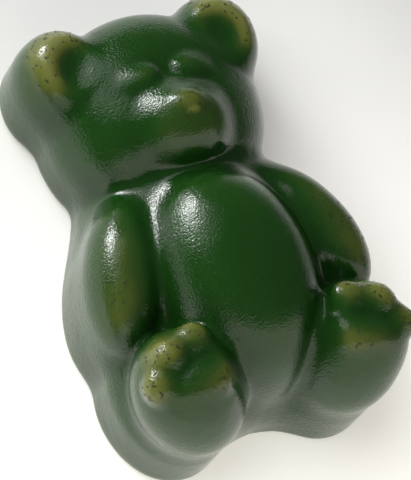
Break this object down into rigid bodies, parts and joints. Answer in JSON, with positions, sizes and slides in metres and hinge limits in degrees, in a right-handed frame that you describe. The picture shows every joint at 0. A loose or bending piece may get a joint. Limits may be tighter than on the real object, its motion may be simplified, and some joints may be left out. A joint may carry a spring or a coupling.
{
  "type": "gummy bear",
  "caption": "Green jelly sweet moulded as a sitting bear with rounded ears, a snout, a round belly, short arms and two feet with toes, lying on its flat back.",
  "frame": {"origin": "on the flat back, under the middle of the bear's box", "axes": "+Z out of the flat back towards the bear's front, +Y towards its head, +X to the right when its face is seen from above with the head away"},
  "size_m": [0.0136, 0.0212, 0.0086],
  "materials": {
    "jelly": "glossy green jelly with a fine uneven skin, olive where it is thin"
  },
  "bodies": {
    "root": {"bear": "jelly"}
  },
  "joints": []
}
